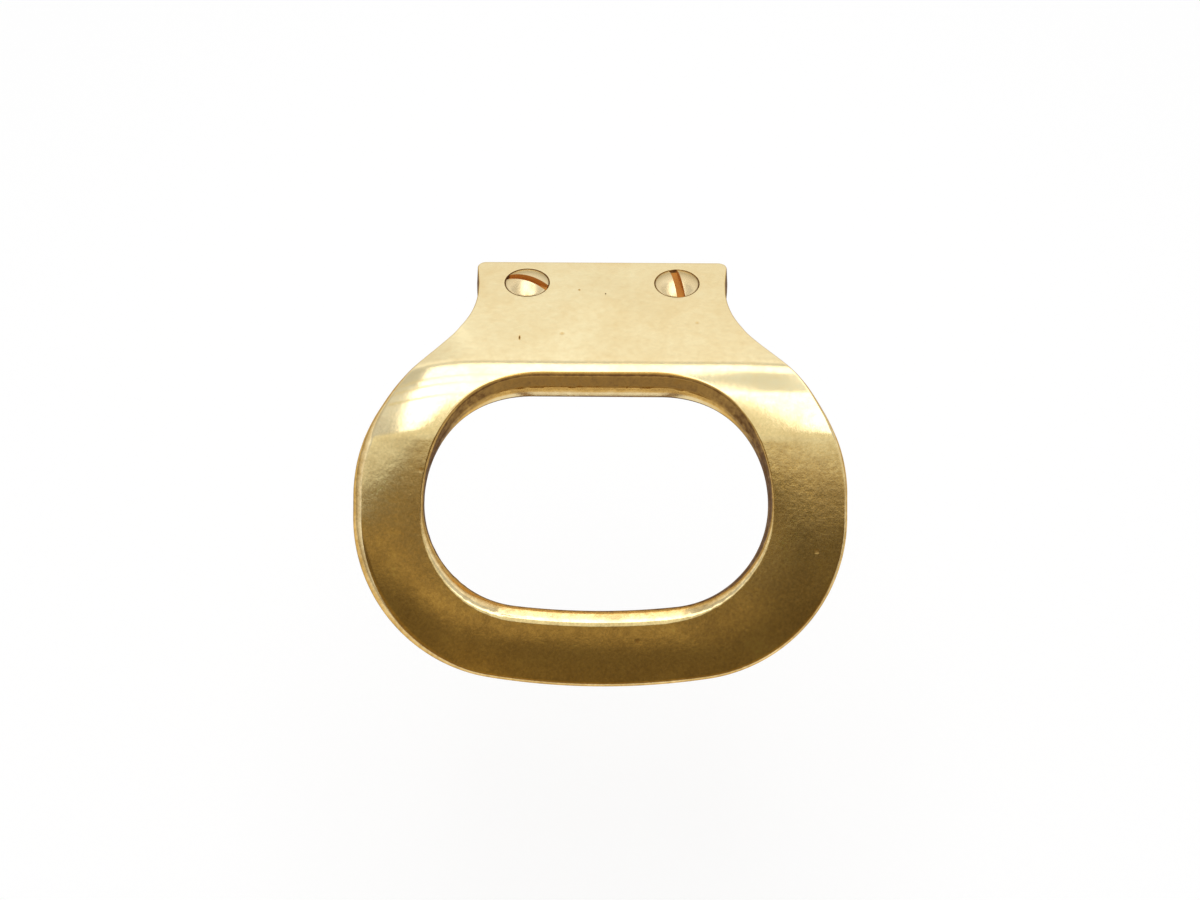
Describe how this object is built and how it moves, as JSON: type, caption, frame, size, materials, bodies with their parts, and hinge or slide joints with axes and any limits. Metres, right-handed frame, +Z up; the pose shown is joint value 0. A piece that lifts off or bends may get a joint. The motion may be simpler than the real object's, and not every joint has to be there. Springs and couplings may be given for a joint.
{
  "type": "ring pull handle",
  "caption": "Cast brass pull: a flat screw flange, a bend and a sloping oval finger ring in one piece, with slotted raised countersunk wood screws.",
  "frame": {"origin": "on the flange's seat face, midway between the two screw axes", "axes": "+X along the width of the ring, +Y towards the flange's back edge, +Z up out of the flange's front face; the ring slopes down towards -Y and the screws point to -Z"},
  "size_m": [0.076, 0.0626, 0.0365],
  "materials": {
    "cast_brass": "hand-polished, with fine haze and small scratches",
    "screw_brass": "turned brass, dulled, dark in the slots"
  },
  "bodies": {
    "root": {"pull_casting": "cast_brass", "fixing_screws": "screw_brass"}
  },
  "joints": []
}
